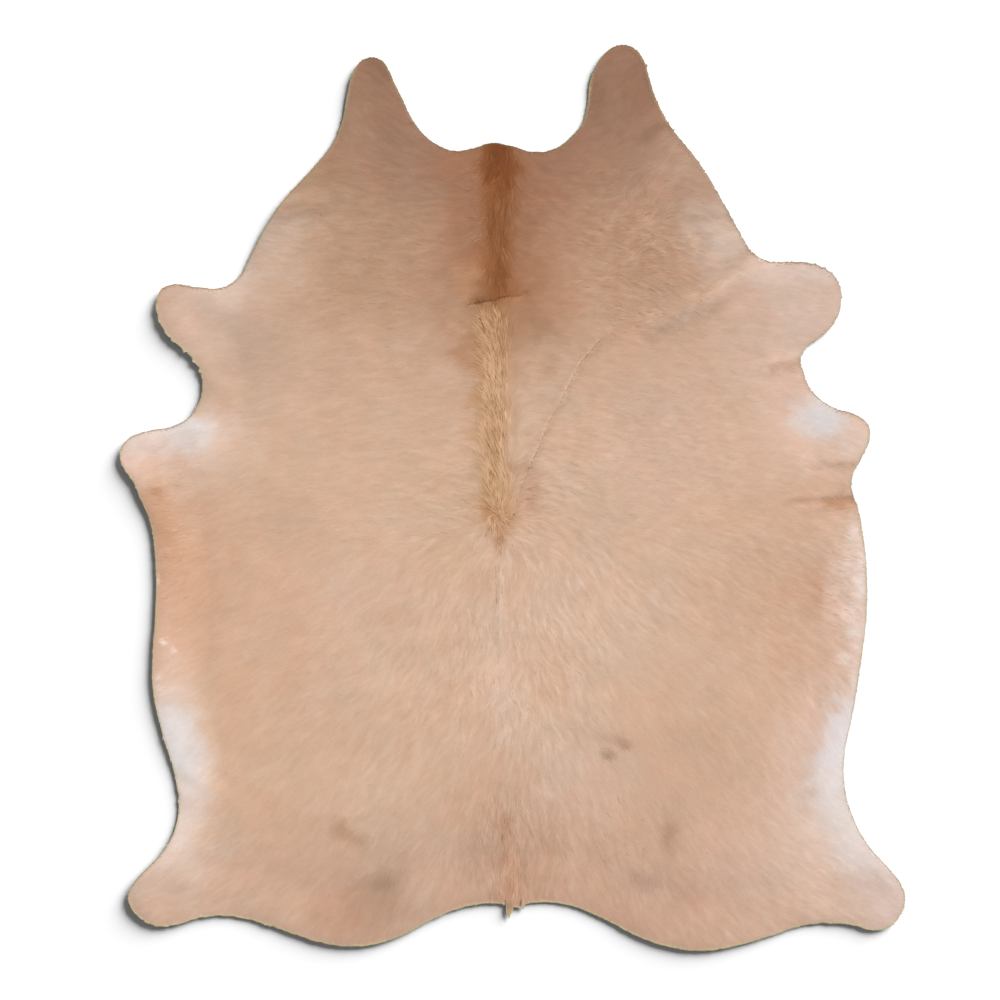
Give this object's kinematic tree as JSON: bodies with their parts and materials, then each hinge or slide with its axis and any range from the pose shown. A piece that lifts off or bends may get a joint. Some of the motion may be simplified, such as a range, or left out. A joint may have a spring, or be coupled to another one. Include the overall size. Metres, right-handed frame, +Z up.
{
  "type": "cowhide",
  "caption": "Flat hair-on cowhide floor rug in its natural outline of neck, legs and tail root, tan with a dark mane stripe.",
  "frame": {"origin": "middle of the hide's outer box, on the surface that it lies on", "axes": "+Y from tail to head, +X to the right seen from above with the head up, +Z up through the hair"},
  "size_m": [1.845, 2.1292, 0.0171],
  "materials": {
    "coat": "matt"
  },
  "bodies": {
    "root": {"hide": "coat"}
  },
  "joints": []
}
